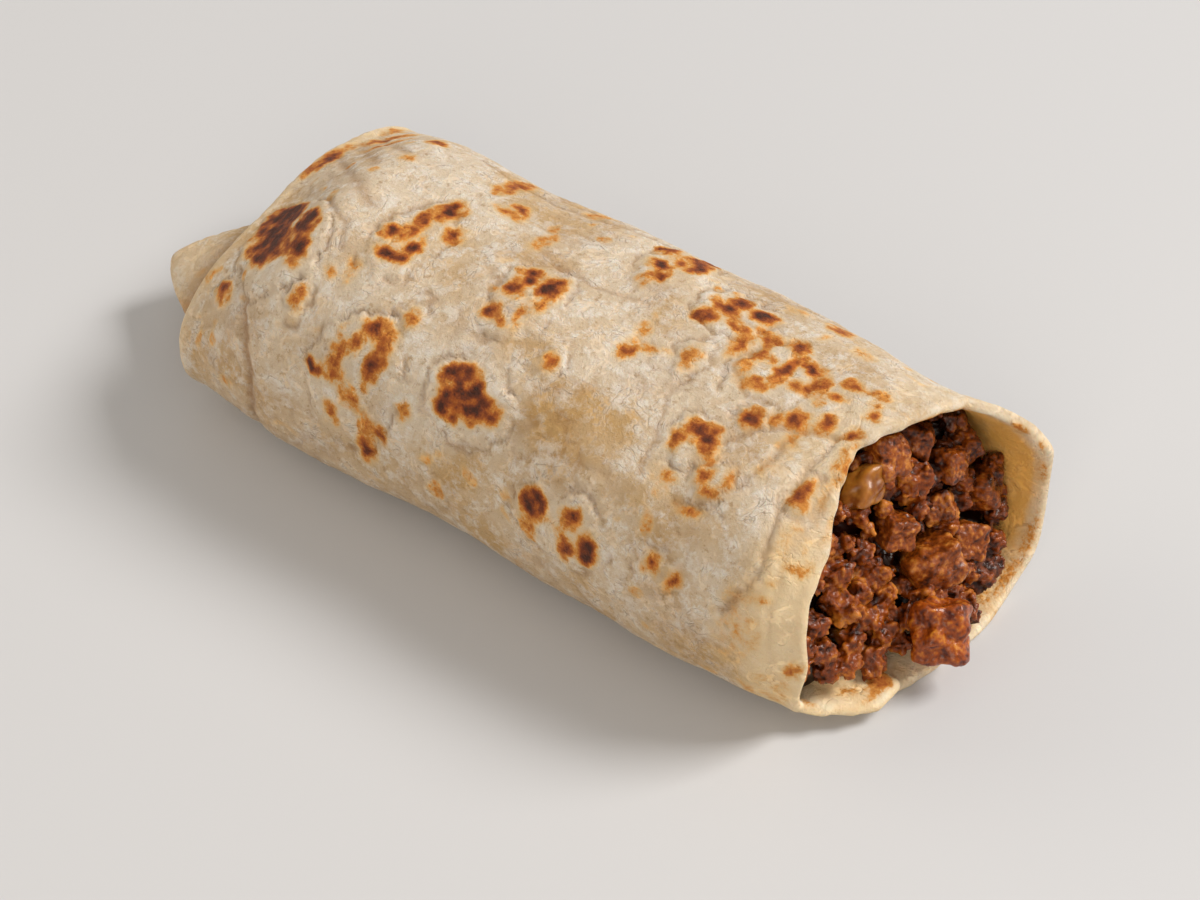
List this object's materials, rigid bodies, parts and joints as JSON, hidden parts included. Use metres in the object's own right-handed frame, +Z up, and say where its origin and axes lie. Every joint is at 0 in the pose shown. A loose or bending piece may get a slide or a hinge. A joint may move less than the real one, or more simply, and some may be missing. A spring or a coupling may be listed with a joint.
{
  "type": "burrito",
  "caption": "Flour tortilla rolled round a chunky braised beef filling, folded and tucked shut at one end and open at the other, lying on its seam.",
  "frame": {"origin": "middle of the bottom face of the part's box, on the surface it rests on", "axes": "+X along the roll towards its open mouth, -Y its front, +Z up"},
  "size_m": [0.2261, 0.1018, 0.0598],
  "materials": {
    "flour_tortilla": "soft matt flour dough, cream, toasted brown in spots",
    "braised_beef": "moist minced and diced beef in a dark reddish sauce",
    "beef_cube": "moist glazed cube of beef, reddish brown",
    "cooked_onion": "soft translucent cooked onion, stained by the sauce"
  },
  "bodies": {
    "root": {"tortilla": "flour_tortilla", "filling": "braised_beef", "beef_chunk": "beef_cube", "onion_piece": "cooked_onion"}
  },
  "joints": []
}
